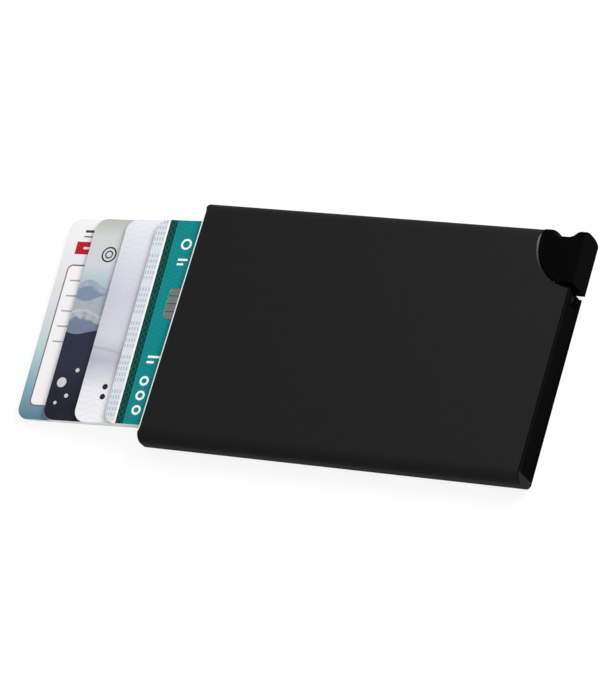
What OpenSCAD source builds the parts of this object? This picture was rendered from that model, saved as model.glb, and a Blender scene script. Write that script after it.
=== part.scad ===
// Card sleeve: a flat extruded metal case, open at one short end, that holds a
// stack of four cards. A lever in one corner of the closed end fans them out.
//
// Frame: X runs along the case, with the mouth towards -X and the closed end
// towards +X. Y runs across it, with the lever at +Y. Z runs through it, with
// the back face on Z = 0 and the front face towards +Z. The origin is the
// centre of the back face. Units: mm. The lever is drawn closed and the cards
// are drawn fanned out of the mouth.

/* [Case] */
// length of the metal case beyond the length of a card
end_room = 16.4; // [15:0.1:20]
// room beside the cards, from a straight card's edge to the side wall
side_room = 2.21; // [1.5:0.01:4]
// radius of the four long outer edges
case_edge_r = 3.2; // [1:0.1:3.7]
// thickness of the front and back walls
face_wall = 0.8; // [0.6:0.05:1.2]
// thickness of the two long side walls
side_wall = 2.3; // [1.6:0.1:3]
// radius of the long inner corners of the card channel
channel_r = 0.5; // [0.2:0.1:1]
// length of the slope at the inner edges of the mouth
lead_in = 0.4; // [0.1:0.1:0.8]
// length along X of the bevel on the outer edges of the mouth
mouth_bevel = 0.5; // [0.2:0.05:0.8]
// depth of that bevel
mouth_bevel_deep = 0.3; // [0.1:0.05:0.4]
// bevel on the outer edges of the closed end and of the corner cut-out
end_bevel = 0.35; // [0.1:0.05:0.5]

/* [Lever corner] */
// radius of the corner cut-out in the case
cut_r = 11.4; // [10:0.1:13]
// distance of the cut-out's centre past the closed end
cut_over = 0.5; // [0:0.1:1.5]
// distance of the cut-out's centre from the long side
cut_side = 3.5; // [2:0.1:5]
// gap between the case and the lever's thumb block
cut_gap = 0.3; // [0.2:0.05:0.6]

/* [Lever] */
// distance of the hinge line from the closed end
hinge_in = 2.05; // [1.9:0.05:4]
// distance of the hinge line from the long side
hinge_side = 16.1; // [14:0.1:18]
// radius of the hinge bosses on the end cap
boss_r = 1.95; // [1.6:0.05:2.4]
// clearance between the thumb block and the hinge bosses
boss_gap = 0.45; // [0.2:0.05:0.8]
// how far the thumb block stands past the closed end
thumb_over = 0.4; // [0:0.1:1]
// radius of the thumb block's outer corner, seen from the front
thumb_corner_r = 1.6; // [0.5:0.1:2.5]
// radius of the thumb block's edges at its end face
thumb_edge_r = 1.0; // [0.3:0.1:1.5]
// depth of the thumb scoop in the long side
scoop_depth = 1.4; // [0.5:0.1:2.5]
// radius of the thumb scoop
scoop_r = 5.4; // [4:0.1:9]
// distance of the scoop's middle from the closed end
scoop_in = 4.3; // [4:0.1:6]
// width of the lever's arm along X
arm_wide = 3.3; // [2.5:0.1:4.5]
// width of each pusher finger along Y
finger_wide = 3.2; // [2.5:0.1:4.5]
// distance from one pusher finger to the next along Y
finger_pitch = 8; // [6:0.1:9]
// clearance between the longest finger, which pushes the back card, and the cap's leg
finger_clear = 0.7; // [0.4:0.1:1.5]
// height of the hub that turns between the bosses
hub_height = 3.8; // [3.6:0.1:4.2]

/* [Pin and spring] */
// diameter of the steel hinge pin
pin_d = 1.6; // [1.2:0.1:2]
// wire diameter of the return spring
wire_d = 0.45; // [0.3:0.05:0.6]
// turns in the coil
spring_turns = 3; // [2:1:3]
// mean radius of the coil
coil_r = 1.33; // [1.2:0.05:1.5]
// distance from one turn of the coil to the next
coil_pitch = 0.55; // [0.5:0.01:0.6]
// length of the spring's two legs
spring_leg = 5.2; // [4.8:0.1:5.6]

/* [End cap] */
// clearance between the cap and the case
cap_gap = 0.05; // [0.02:0.01:0.2]
// how far the cap's end face lies inside the case's end
cap_recess = 0.15; // [0:0.05:0.5]
// thickness of the cap's end wall
cap_end = 1.6; // [1.2:0.1:1.8]
// thickness of the cap's floor and roof plates
cap_plate = 0.6; // [0.5:0.05:0.7]
// length of the cap along X
cap_depth = 13.4; // [12:0.1:14]
// height of the snap ridges on the cap
snap = 0.3; // [0.15:0.05:0.35]

/* [Cards] */
// length of a card
card_length = 85.6; // [85.3:0.1:86]
// width of a card
card_width = 53.98; // [53.5:0.02:54.3]
// thickness of a card
card_thick = 0.76; // [0.68:0.02:0.84]
// corner radius of a card
card_r = 3.18; // [2.5:0.02:3.5]
// distance from one card's middle to the next through the stack
card_pitch = 1.25; // [1.2:0.01:1.26]
// clearance from a turned card's corners to the side walls, which sets how far the cards lie turned
card_gap = 0.84; // [0.2:0.02:1.2]
// how far the cards lie off the middle, towards +Y
card_y = 0.7; // [-0.8:0.1:0.8]
// how far the front card stands out of the mouth
out_front = 12.3; // [8:0.1:40]
// how far the second card stands out
out_second = 21.7; // [10:0.1:45]
// how far the third card stands out
out_third = 31.4; // [12:0.1:50]
// how far the back card stands out
out_back = 39.6; // [14:0.1:55]
// length of the contact plate along the card
chip_length = 10.6; // [9:0.1:13]
// width of the contact plate across the card
chip_width = 8.3; // [8:0.1:12]
// distance of the contact plate from the card's leading edge
chip_in = 8.7; // [4:0.1:12]
// distance of the contact plate's middle from the card's middle line
chip_up = 4.8; // [0:0.1:6]
// thickness of the contact plate
chip_thick = 0.25; // [0.1:0.05:0.4]

/* [Felt strips] */
// length of a felt strip across the mouth
felt_long = 48; // [30:1:54]
// width of a felt strip along X
felt_wide = 6; // [3:0.5:10]
// thickness of a felt strip
felt_thick = 0.9; // [0.6:0.05:1.5]
// distance of the felt strips from the mouth
felt_in = 2.5; // [1:0.5:6]
// clearance between the felt and the nearest card
felt_gap = 0.045; // [0.01:0.005:0.1]

/* [Hidden] */
$fn = 96;
eps = 0.01;
over = 1;

// case
case_length = card_length + end_room;
channel_w = card_width + 2 * side_room;
case_width = channel_w + 2 * side_wall;
case_thick = 3 * card_pitch + card_thick + 2 * (felt_gap + felt_thick + face_wall);
half_l = case_length / 2;
half_w = case_width / 2;
mid_z = case_thick / 2;
channel_lo = face_wall;
channel_hi = case_thick - face_wall;
cut_x = half_l + cut_over;
cut_y = half_w - cut_side;

// hinge line and hub
hinge_x = half_l - hinge_in;
hinge_y = half_w - hinge_side;
hub_lo = mid_z - hub_height / 2;
hub_hi = mid_z + hub_height / 2;
pin_r = pin_d / 2;
pin_play = 0.05;
pin_end_gap = 0.02;
ear_play = 0.1;

// end cap: a tray with its plates on the case's two face walls
cap_lo = channel_lo + cap_gap;
cap_hi = channel_hi - cap_gap;
cap_x1 = half_l - cap_recess;
cap_x0 = half_l - cap_depth;
cap_y0 = -channel_w / 2 + cap_gap;
cap_y1 = hinge_y - boss_r - 0.1;
wall_x = cap_x1 - cap_end;
leg_wide = 2.15;
pin_floor = 0.15;

// snap ridges on the plates and the barb on the leg, with the grooves they enter
ridge_x = cap_x0 + 3.4;
ridge_w = 1;
ridge_y0 = cap_y0 + 7;
ridge_y1 = cap_y1 - 1.3;
barb_x1 = ridge_x + 2;
barb_out = 0.5;
barb_half = 1.4;
snap_slope = 0.3;
groove_play = 0.15;

// lever: four steps of the arm, one for each card, from the back card up
arm_x1 = wall_x - 0.3;
arm_x0 = arm_x1 - arm_wide;
arm_y1 = hinge_y - 4.6;
root_y = hinge_y - 7;
neck_y = hinge_y + 4;
finger_x0 = cap_x0 - 0.4;
finger_r = 1.2;
finger_y0 = cap_y0 + leg_wide + finger_clear;
web = 4.6;
arm_lo = cap_lo + cap_plate + 0.15;
arm_hi = cap_hi - cap_plate - 0.15;
layer_edge = [arm_lo, mid_z - card_pitch, mid_z, mid_z + card_pitch, arm_hi];

// coil and legs of the spring, its slot in the lever and its post on the cap
coil_start = 260;
coil_sweep = 360 * spring_turns - 80;
coil_rise = coil_pitch * coil_sweep / 360;
slot_half = (coil_rise + wire_d) / 2 + 0.1;
slot_r = coil_r + 1.37;
slot_past_leg = 0.9;
leg_bearing = 0.03;
post_r = 0.6;
post_along = 4.3;
post_bite = 0.02;

// cards
out_by = [out_back, out_third, out_second, out_front];
card_corner = [card_width / 2 - card_r, card_length / 2 - card_r];
card_turn = atan2(card_corner.y, card_corner.x)
    - acos((channel_w / 2 - card_gap - card_r) / norm(card_corner));
chip_r = 1.2;
chip_fit = 0.02;

// shared shapes

// rectangle with rounded corners, from its low corner to its high corner
module rounded_rect(low, high, r) {
    translate([low.x + r, low.y]) square([high.x - low.x - 2 * r, high.y - low.y]);
    translate([low.x, low.y + r]) square([high.x - low.x, high.y - low.y - 2 * r]);
    for (x = [low.x + r, high.x - r], y = [low.y + r, high.y - r])
        translate([x, y]) circle(r = r);
}

// a bar along X: the flat shape is drawn in Y and Z
module along_x(from, length) {
    translate([from, 0, 0]) rotate([90, 0, 90]) linear_extrude(height = length) children();
}

// a bar along Y: the flat shape is drawn in X and Z
module along_y(from, length) {
    translate([0, from + length, 0]) rotate([90, 0, 0]) linear_extrude(height = length) children();
}

// a plate between two heights: the flat shape is drawn in X and Y
module plate(low, high) {
    translate([0, 0, low]) linear_extrude(height = high - low) children();
}

// outer section of the case
module case_section() {
    rounded_rect([-half_w, 0], [half_w, case_thick], case_edge_r);
}

// case

// sloped inner edge of the mouth along the back wall
module mouth_slope() {
    along_y(-channel_w / 2, channel_w)
        polygon([[-half_l - eps, channel_lo - lead_in / 2],
                 [-half_l - eps, channel_lo + eps],
                 [-half_l + lead_in, channel_lo + eps],
                 [-half_l + lead_in, channel_lo]]);
}

// what the bevels take off the front face: the mouth, the closed end and the cut-out
module face_bevels() {
    along_y(-half_w - over, case_width + 2 * over)
        polygon([[-half_l - eps, case_thick - mouth_bevel_deep], [-half_l + mouth_bevel, case_thick + eps],
                 [-half_l - eps, case_thick + eps]]);
    along_y(-half_w - over, case_width + 2 * over)
        polygon([[half_l + eps, case_thick - end_bevel], [half_l + eps, case_thick + eps],
                 [half_l - end_bevel, case_thick + eps]]);
    translate([cut_x, cut_y, case_thick - end_bevel])
        cylinder(r1 = cut_r, r2 = cut_r + end_bevel + over, h = end_bevel + over);
}

// groove that the ridge on the cap's floor snaps into
module snap_groove() {
    translate([ridge_x - groove_play, ridge_y0 - groove_play, channel_lo - snap - cap_gap])
        cube([ridge_w + 2 * groove_play, ridge_y1 - ridge_y0 + 2 * groove_play, snap + cap_gap + eps]);
}

module case() {
    color([0.16, 0.16, 0.17]) difference() {
        along_x(-half_l, case_length) case_section();
        along_x(-half_l - over, case_length + 2 * over)
            rounded_rect([-channel_w / 2, channel_lo], [channel_w / 2, channel_hi], channel_r);
        translate([cut_x, cut_y, -over]) cylinder(r = cut_r, h = case_thick + 2 * over);
        mouth_slope();
        translate([0, 0, case_thick]) mirror([0, 0, 1]) mouth_slope();
        face_bevels();
        translate([0, 0, case_thick]) mirror([0, 0, 1]) face_bevels();
        snap_groove();
        translate([0, 0, case_thick]) mirror([0, 0, 1]) snap_groove();
        // groove for the barb on the cap's leg
        translate([ridge_x - groove_play, cap_y0 - barb_out - groove_play, mid_z - barb_half - groove_play])
            cube([barb_x1 - ridge_x + 2 * groove_play, barb_out + groove_play,
                  2 * (barb_half + groove_play)]);
    }
}

// end cap

// one ear of the hinge, drawn flat: a round boss on a neck
module ear_outline() {
    translate([hinge_x, hinge_y]) circle(r = boss_r);
    translate([hinge_x - boss_r, cap_y1 - over]) square([2 * boss_r, hinge_y - cap_y1 + over]);
}

// plate that spans the mechanism, drawn flat
module plate_outline() {
    translate([cap_x0, cap_y0 + over]) square([wall_x - cap_x0 + eps, cap_y1 - cap_y0 - over]);
    translate([hinge_x - 6.6, cap_y1 - over]) square([4.2, hinge_y + 1.6 - cap_y1 + over]);
}

// ridge that snaps into the case, with both edges sloped
module snap_ridge() {
    along_y(ridge_y0, ridge_y1 - ridge_y0)
        polygon([[ridge_x, cap_lo + eps], [ridge_x + snap_slope, cap_lo - snap],
                 [ridge_x + ridge_w - snap_slope, cap_lo - snap], [ridge_x + ridge_w, cap_lo + eps]]);
}

// barb on the leg, drawn flat: a slope on the way in and a catch on the way out
module barb_outline() {
    polygon([[ridge_x, cap_y0 + eps], [barb_x1 - barb_out - snap_slope, cap_y0 - barb_out],
             [barb_x1 - snap_slope, cap_y0 - barb_out], [barb_x1, cap_y0 + eps]]);
}

module end_cap() {
    color([0.05, 0.05, 0.055]) difference() {
        union() {
            // tray: end wall, side leg, floor and roof
            difference() {
                along_x(cap_x0, cap_x1 - cap_x0)
                    rounded_rect([cap_y0, cap_lo], [cap_y1, cap_hi], channel_r);
                translate([cap_x0 - over, cap_y0 + leg_wide, cap_lo + cap_plate])
                    cube([wall_x - cap_x0 + over, case_width, cap_hi - cap_lo - 2 * cap_plate]);
            }
            plate(cap_lo, hub_lo - ear_play) ear_outline();
            plate(hub_hi + ear_play, cap_hi) ear_outline();
            plate(cap_lo, cap_lo + cap_plate) plate_outline();
            plate(cap_hi - cap_plate, cap_hi) plate_outline();
            // post that the fixed leg of the spring bears on
            translate([hinge_x, hinge_y, cap_lo + eps]) rotate([0, 0, coil_start - 90])
                translate([post_along, coil_r - wire_d / 2 - post_r + post_bite, 0])
                    cylinder(r = post_r, h = cap_hi - cap_lo - 2 * eps);
            snap_ridge();
            translate([0, 0, case_thick]) mirror([0, 0, 1]) snap_ridge();
            plate(mid_z - barb_half, mid_z + barb_half) barb_outline();
        }
        // hole for the hinge pin
        translate([hinge_x, hinge_y, cap_lo + pin_floor]) cylinder(r = pin_r, h = cap_hi - cap_lo);
    }
}

// lever

// outline of the thumb block, drawn flat
module thumb_outline() {
    difference() {
        intersection() {
            translate([cut_x, cut_y]) circle(r = cut_r - cut_gap);
            rounded_rect([half_l - 2 * cut_r, hinge_y - over], [half_l + thumb_over, half_w], thumb_corner_r);
            translate([0, hinge_y]) square([case_length, case_width]);
        }
        // room for the hinge bosses
        translate([hinge_x, hinge_y]) circle(r = boss_r + boss_gap);
        translate([hinge_x, hinge_y - over]) square([10, boss_r + boss_gap + over]);
        // thumb scoop
        translate([half_l - scoop_in, half_w - scoop_depth + scoop_r]) circle(r = scoop_r);
    }
}

module thumb_block() {
    intersection() {
        plate(-over, case_thick + over) thumb_outline();
        along_x(half_l - 2 * cut_r, 3 * cut_r) case_section();
        along_y(0, half_w + over)
            rounded_rect([half_l - 2 * cut_r, 0], [half_l + thumb_over, case_thick], thumb_edge_r);
    }
}

// hub with its neck up to the thumb block and its root down to the arm, drawn flat
module hub_outline() {
    translate([hinge_x, hinge_y]) circle(r = boss_r);
    polygon([[hinge_x - 0.8 * boss_r, hinge_y], [hinge_x - 0.8 * boss_r, neck_y],
             [hinge_x + 0.5 * boss_r, neck_y], [hinge_x + 0.7 * boss_r, hinge_y]]);
    polygon([[hinge_x - boss_r, hinge_y], [hinge_x, hinge_y], [arm_x1, hinge_y - boss_r],
             [arm_x1, root_y], [arm_x0, root_y], [arm_x0, arm_y1]]);
}

// one step of the arm, drawn flat: the beam down to a finger, with a web behind it
module step_outline(finger_y) {
    finger_y1 = finger_y + finger_wide;
    translate([arm_x0, finger_y]) square([arm_wide, arm_y1 - finger_y]);
    rounded_rect([finger_x0, finger_y], [arm_x0 + 2 * finger_r, finger_y1], finger_r);
    polygon([[arm_x0 - web, finger_y1 - eps], [arm_x0 + eps, finger_y1 - eps],
             [arm_x0 + eps, finger_y1 + web]]);
}

module lever() {
    color([0.045, 0.045, 0.05]) difference() {
        union() {
            thumb_block();
            plate(hub_lo, hub_hi) hub_outline();
            for (i = [0 : 3])
                plate(layer_edge[i], layer_edge[i + 1])
                    step_outline(finger_y0 + i * finger_pitch);
        }
        translate([hinge_x, hinge_y, -over]) cylinder(r = pin_r + pin_play, h = case_thick + 2 * over);
        // slot for the coil and the two legs of the spring
        translate([hinge_x, hinge_y, mid_z - slot_half]) cylinder(r = slot_r, h = 2 * slot_half);
        translate([hinge_x - coil_r - slot_r, hinge_y - spring_leg - slot_past_leg, mid_z - slot_half])
            cube([slot_r + wire_d / 2 + leg_bearing, spring_leg + slot_past_leg, 2 * slot_half]);
    }
}

// pin, spring and felt

module hinge_pin() {
    color([0.72, 0.73, 0.75])
        translate([hinge_x, hinge_y, cap_lo + pin_floor])
            cylinder(r = pin_r - eps, h = cap_hi - cap_lo - pin_floor - pin_end_gap);
}

// middle of the spring wire: at 0 and 1 the ends of the coil, and outside them the legs
function wire_turn(t) = coil_start + coil_sweep * min(max(t, 0), 1);
function wire_along(t) = t < 0 || t > 1 ? spring_leg * sign(t) : 0;
function wire_middle(t) =
    let (a = wire_turn(t))
    [coil_r * cos(a) - wire_along(t) * sin(a),
     coil_r * sin(a) + wire_along(t) * cos(a),
     coil_rise * (min(max(t, 0), 1) - 0.5)];

// wound torsion spring: one tube of six sides along the wire
module return_spring() {
    sides = 6;
    steps = 16 * spring_turns;
    stops = [for (i = [-1 : steps + 1]) i / steps];
    rings = len(stops);
    points = [for (t = stops, k = [0 : sides - 1])
        let (a = wire_turn(t), b = 360 * k / sides)
        wire_middle(t) + wire_d / 2 * [cos(b) * cos(a), cos(b) * sin(a), sin(b)]];
    walls = [for (i = [0 : rings - 2], k = [0 : sides - 1])
        let (n = (k + 1) % sides)
        [i * sides + k, i * sides + n, (i + 1) * sides + n, (i + 1) * sides + k]];
    ends = [[for (k = [sides - 1 : -1 : 0]) k],
            [for (k = [0 : sides - 1]) (rings - 1) * sides + k]];
    color([0.6, 0.61, 0.63]) translate([hinge_x, hinge_y, mid_z])
        polyhedron(points = points, faces = concat(walls, ends));
}

// strip of felt on the inside of one wall, between two heights
module felt_strip(low, high) {
    color([0.12, 0.12, 0.13])
        translate([-half_l + felt_in, -felt_long / 2, low]) cube([felt_wide, felt_long, high - low]);
}

// cards

// places the children on a card: X from its leading edge, Y from its middle
// line, Z from the middle of its thickness. Layer 0 is the back card.
module on_card(layer) {
    translate([card_length / 2 - half_l - out_by[layer], card_y, mid_z + (layer - 1.5) * card_pitch])
        rotate([0, 0, card_turn]) translate([-card_length / 2, 0, 0]) children();
}

module card(layer, tint) {
    color(tint) on_card(layer) plate(-card_thick / 2, card_thick / 2)
        rounded_rect([0, -card_width / 2], [card_length, card_width / 2], card_r);
}

// contact plate, drawn flat, grown on every side
module chip_outline(grow) {
    rounded_rect([chip_in - grow, chip_up - chip_width / 2 - grow],
                 [chip_in + chip_length + grow, chip_up + chip_width / 2 + grow], chip_r + grow);
}

module card_back() { card(0, [0.55, 0.73, 0.78]); }

module card_third() { card(1, [0.25, 0.34, 0.45]); }

module card_second() { card(2, [0.84, 0.84, 0.9]); }

module card_front() {
    color([0.05, 0.6, 0.6]) difference() {
        card(3, [0.05, 0.6, 0.6]);
        on_card(3) plate(card_thick / 2 - chip_thick, card_thick / 2 + over) chip_outline(chip_fit);
    }
}

module chip_plate() {
    color([0.8, 0.78, 0.7]) on_card(3)
        plate(card_thick / 2 - chip_thick, card_thick / 2) chip_outline(0);
}

// selection

case();
end_cap();
lever();
hinge_pin();
return_spring();
felt_strip(channel_hi - felt_thick, channel_hi);  // felt_strip_front
felt_strip(channel_lo, channel_lo + felt_thick);  // felt_strip_back
card_front();
card_second();
card_third();
card_back();
chip_plate();
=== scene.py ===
"""Card sleeve: a black anodised case with a corner lever and four cards fanned out of its mouth.

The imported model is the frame. Sizes and places are in millimetres unless a docstring says
metres, and MM turns them into the metres of the meshes.
"""
from __future__ import annotations

import logging
import math
from collections.abc import Callable, Sequence
from dataclasses import dataclass
from enum import Enum
from functools import reduce
from typing import Any

import bpy
from mathutils import Matrix, Vector

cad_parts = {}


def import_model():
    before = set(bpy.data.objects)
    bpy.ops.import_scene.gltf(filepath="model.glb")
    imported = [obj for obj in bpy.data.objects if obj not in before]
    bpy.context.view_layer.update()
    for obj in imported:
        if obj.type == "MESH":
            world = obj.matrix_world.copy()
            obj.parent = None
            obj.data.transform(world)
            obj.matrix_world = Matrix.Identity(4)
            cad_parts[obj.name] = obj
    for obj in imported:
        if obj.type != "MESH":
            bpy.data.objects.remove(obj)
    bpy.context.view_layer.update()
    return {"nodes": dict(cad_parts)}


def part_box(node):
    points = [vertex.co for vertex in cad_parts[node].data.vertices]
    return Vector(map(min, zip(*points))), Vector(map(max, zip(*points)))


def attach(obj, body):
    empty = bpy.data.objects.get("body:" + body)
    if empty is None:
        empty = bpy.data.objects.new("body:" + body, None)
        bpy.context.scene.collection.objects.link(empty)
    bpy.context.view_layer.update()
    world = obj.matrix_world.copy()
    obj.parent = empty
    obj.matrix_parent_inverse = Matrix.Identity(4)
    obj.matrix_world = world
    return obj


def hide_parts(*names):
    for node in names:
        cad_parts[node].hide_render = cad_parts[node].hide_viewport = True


LOG = logging.getLogger("card_sleeve")
MM = 0.001

Colour = tuple[float, float, float]
Point = tuple[float, float, float]
Flat = tuple[float, float]
Rows = Sequence[tuple[float, float, float, float]]
Piece = bpy.types.Object
Material = bpy.types.Material
Test = Callable[[Vector, Vector], bool]

BLACK = (0.0, 0.0, 0.0)
WHITE = (1.0, 1.0, 1.0)

# Sizes and places that several pieces share

HALF_LENGTH = 51.0
HEIGHT = 8.0
CHANNEL_SIDE = 29.2
CUT_CENTRE = (51.5, 28.0)
HINGE = (48.95, 15.4, 4.0)

# Distances within which two places count as one, in tests of edges

TOUCH = 0.01
NEAR = 0.05


class Body(Enum):
    """The bodies that pieces ride on."""

    CASE = "case_body"
    LEVER = "lever_body"
    FRONT_CARD = "front_card_body"
    SECOND_CARD = "second_card_body"
    THIRD_CARD = "third_card_body"
    BACK_CARD = "back_card_body"


# Shader maths


def math_method(operation: str, reflected: bool = False) -> Callable[..., Sock]:
    """Makes a method of Sock that adds one Math node.

    Args:
        operation: the node's operation.
        reflected: puts the other value first, as in 1 - mask.

    Returns:
        The method.
    """

    def method(self: Sock, *others: Any) -> Sock:
        """Adds the node on this value and the others, and gives its output."""
        values = (*others, self) if reflected else (self, *others)
        return self.graph.node("ShaderNodeMath", {"operation": operation}, dict(enumerate(values)))

    return method


class Sock:
    """One output of a shader node, which takes part in arithmetic."""

    def __init__(self, graph: Graph, node: bpy.types.Node, out: int | str = 0) -> None:
        """Wraps an output of a node.

        Args:
            graph: the graph that the node is in.
            node: the node.
            out: the output's number or name.
        """
        self.graph = graph
        self.node = node
        self.out = out

    def output(self, out: int | str) -> Sock:
        """Another output of the same node."""
        return Sock(self.graph, self.node, out)

    __add__ = __radd__ = math_method("ADD")
    __mul__ = __rmul__ = math_method("MULTIPLY")
    __sub__ = math_method("SUBTRACT")
    __rsub__ = math_method("SUBTRACT", reflected=True)
    __truediv__ = math_method("DIVIDE")
    __pow__ = math_method("POWER")
    __abs__ = math_method("ABSOLUTE")
    sin = math_method("SINE")
    fract = math_method("FRACT")
    floor = math_method("FLOOR")
    most = math_method("MAXIMUM")

    def rise(self, at: float, soft: float = 0.08) -> Sock:
        """Mask that goes from 0 to 1 over a width, soft, about a value, at."""
        ends = {0: self, 1: at - soft / 2, 2: at + soft / 2}
        return self.graph.node("ShaderNodeMapRange", {"interpolation_type": "SMOOTHSTEP"}, ends)

    def band(self, low: float, high: float, soft: float = 0.08) -> Sock:
        """Mask that is 1 between two values."""
        return self.rise(low, soft) - self.rise(high, soft)

    def cell(self, pitch: float) -> Sock:
        """Distance from the middle of a repeating cell, from -pitch/2 to pitch/2."""
        return ((self / pitch).fract() - 0.5) * pitch

    def lines(self, pitch: float, half: float, soft: float) -> Sock:
        """Mask of lines at a pitch, each of some half width."""
        return self.cell(pitch).band(-half, half, soft)

    def about(self, middle: Any, spread: float) -> Sock:
        """Value that goes about a middle by a spread as this mask goes from 0 to 1."""
        return middle + (self - 0.5) * spread


class Owner(Enum):
    """What a graph belongs to, with the collection that it is made in."""

    MATERIAL = "materials"
    WORLD = "worlds"


class Graph:
    """The node graph of a material or of the world."""

    def __init__(self, name: str, kind: Owner = Owner.MATERIAL) -> None:
        """Starts an empty graph.

        Args:
            name: name of the new material or world.
            kind: which of the two it is.
        """
        self.kind = kind
        self.owner = getattr(bpy.data, kind.value).new(name)
        self.owner.use_nodes = True
        self.tree = self.owner.node_tree
        self.tree.nodes.clear()

    def feed(self, socket: bpy.types.NodeSocket, value: Any) -> None:
        """Gives an input socket its value.

        Args:
            socket: the input.
            value: a link, a number, a colour or a vector.
        """
        if isinstance(value, Sock):
            self.tree.links.new(value.node.outputs[value.out], socket)
        elif isinstance(value, (int, float)):
            socket.default_value = value
        elif socket.type == "RGBA":
            socket.default_value = (*value[:3], 1.0)
        else:
            socket.default_value = value

    def node(
        self,
        kind: str,
        settings: dict[str, Any] | None = None,
        sockets: dict[int | str, Any] | None = None,
        out: int | str = 0,
    ) -> Sock:
        """Adds a node of any type.

        Args:
            kind: the node's type.
            settings: properties, set before the sockets. "stops" are a ramp's places and colours.
            sockets: values or links of the inputs, by number or name.
            out: the output that is returned.

        Returns:
            The output.
        """
        made = self.tree.nodes.new(kind)
        for name, value in (settings or {}).items():
            if name == "stops":
                self._set_stops(made.color_ramp, value)
            else:
                setattr(made, name, value)
        for key, value in (sockets or {}).items():
            self.feed(made.inputs[key], value)
        return Sock(self, made, out)

    @staticmethod
    def _set_stops(ramp: bpy.types.ColorRamp, stops: dict[float, Colour]) -> None:
        """Gives a ramp its stops.

        Args:
            ramp: the ramp.
            stops: colours by their place, in order.
        """
        while len(ramp.elements) < len(stops):
            ramp.elements.new(1.0)
        for element, (place, colour) in zip(ramp.elements, stops.items()):
            element.position = place
            element.color = (*colour, 1.0)

    def ramp(self, value: Sock, low: float, high: float, stops: dict[float, Colour]) -> Sock:
        """Colour by a ramp, whose stops' places go from 0 at low to 1 at high."""
        return self.node("ShaderNodeValToRGB", {"stops": stops}, {0: (value - low) / (high - low)})

    def mix(self, mask: Any, under: Any, over: Any) -> Sock:
        """Colour that goes from under to over by a mask."""
        return self.node("ShaderNodeMix", {"data_type": "RGBA"}, {0: mask, 6: under, 7: over}, 2)

    def lay(self, under: Any, *layers: tuple[Any, Any]) -> Sock:
        """Lays colours on one another, as pairs of mask and colour from the lowest up."""
        return reduce(lambda made, layer: self.mix(layer[0], made, layer[1]), layers, under)

    def place(self) -> Sock:
        """Object coordinates, in metres."""
        return self.node("ShaderNodeTexCoord", out="Object")

    def local(self, origin: Point = (0.0, 0.0, 0.0), turn: float = 0.0) -> list[Sock]:
        """Coordinates in millimetres from an origin, turned about Z.

        Args:
            origin: the place that becomes 0, 0, 0.
            turn: angle of the piece, in degrees.

        Returns:
            The three coordinates.
        """
        origin_m = tuple(v * MM for v in origin)
        sockets = {0: self.place(), 1: origin_m, 2: (0, 0, math.radians(turn)), 3: (MM, MM, MM)}
        mapped = self.node("ShaderNodeMapping", {"vector_type": "TEXTURE"}, sockets)
        split = self.node("ShaderNodeSeparateXYZ", sockets={0: mapped})
        return [split.output(axis) for axis in range(3)]

    def noise(self, scale: float, detail: float = 2.0, vector: Sock | None = None) -> Sock:
        """Noise from 0 to 1 on Object coordinates. Scale is in cells a metre."""
        sockets = {"Vector": vector or self.place(), "Scale": scale, "Detail": detail}
        return self.node("ShaderNodeTexNoise", sockets=sockets)

    def streaks(self, cells: Point, detail: float = 2.0) -> Sock:
        """Noise from 0 to 1, with its cells a metre along each axis."""
        return self.noise(1.0, detail, self.node("ShaderNodeMapping", sockets={0: self.place(), 3: cells}))

    def bump(self, height: Sock, depth: float, strength: float) -> Sock:
        """Normal from a height of some depth."""
        sockets = {"Strength": strength, "Distance": depth * MM, "Height": height}
        return self.node("ShaderNodeBump", sockets=sockets)

    def close(self, shader: Sock) -> Material | bpy.types.World:
        """Links a shader to the output, and gives the material or world."""
        self.node(f"ShaderNodeOutput{self.kind.name.title()}", sockets={0: shader})
        return self.owner

    def surface(self, **values: Any) -> Material:
        """Closes the graph with one Principled surface, whose inputs have underscores for spaces."""
        sockets = {name.replace("_", " "): value for name, value in values.items()}
        return self.close(self.node("ShaderNodeBsdfPrincipled", sockets=sockets))


def shade(colour: Colour, factor: float) -> Colour:
    """A colour times a factor, up to white."""
    return tuple(min(1.0, factor * part) for part in colour)


# Finishes


@dataclass(frozen=True)
class Anodised:
    """Black anodised aluminium with the fine satin grain of a blasted extrusion.

    The bevel of the closed end, beyond bevel_from, is painted near black as painted shade,
    for the dark edge where the case meets its cap. The ends of the side walls, beyond end and wall, are
    milled.
    """

    colour: Colour = (0.0116, 0.0116, 0.0121)
    lighter: Colour = (0.0136, 0.0136, 0.0141)
    milled: Colour = (0.013, 0.013, 0.0135)
    # bevel: painted shade, the near-black colour of the closed end's bevel
    bevel: Colour = (0.0016, 0.0016, 0.0017)
    gloss: float = 0.008
    roughness: float = 0.42
    bevel_from: float = 50.68
    end: float = 50.9
    wall: float = 29.0
    grain: float = 9000.0
    grain_spread: float = 0.05
    mottle: float = 260.0
    draw: Point = (42.0, 4200.0, 4200.0)
    draw_spread: float = 0.04
    depth: float = 0.004

    def make(self) -> Material:
        """Builds the material.

        Returns:
            The material.
        """
        g = Graph("anodised")
        fine = g.noise(self.grain, 1.0)
        broad = g.noise(self.mottle, 3.0)
        lines = g.streaks(self.draw, 1.0)
        along, across, _ = g.local()
        wall_end = along.rise(self.end, 0.02) * abs(across).rise(self.wall, 0.3)
        colour = g.lay(
            g.mix(broad * 0.6 + fine * 0.4, self.colour, self.lighter),
            # painted shade on the closed end's bevel
            (along.rise(self.bevel_from, 0.04), self.bevel),
            (wall_end, self.milled),
        )
        return g.surface(
            Base_Color=colour,
            Specular_IOR_Level=self.gloss,
            Roughness=lines.about(fine.about(self.roughness, self.grain_spread), self.draw_spread),
            Normal=g.bump(fine * 0.7 + lines * 0.3, self.depth, 0.5),
        )


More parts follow.
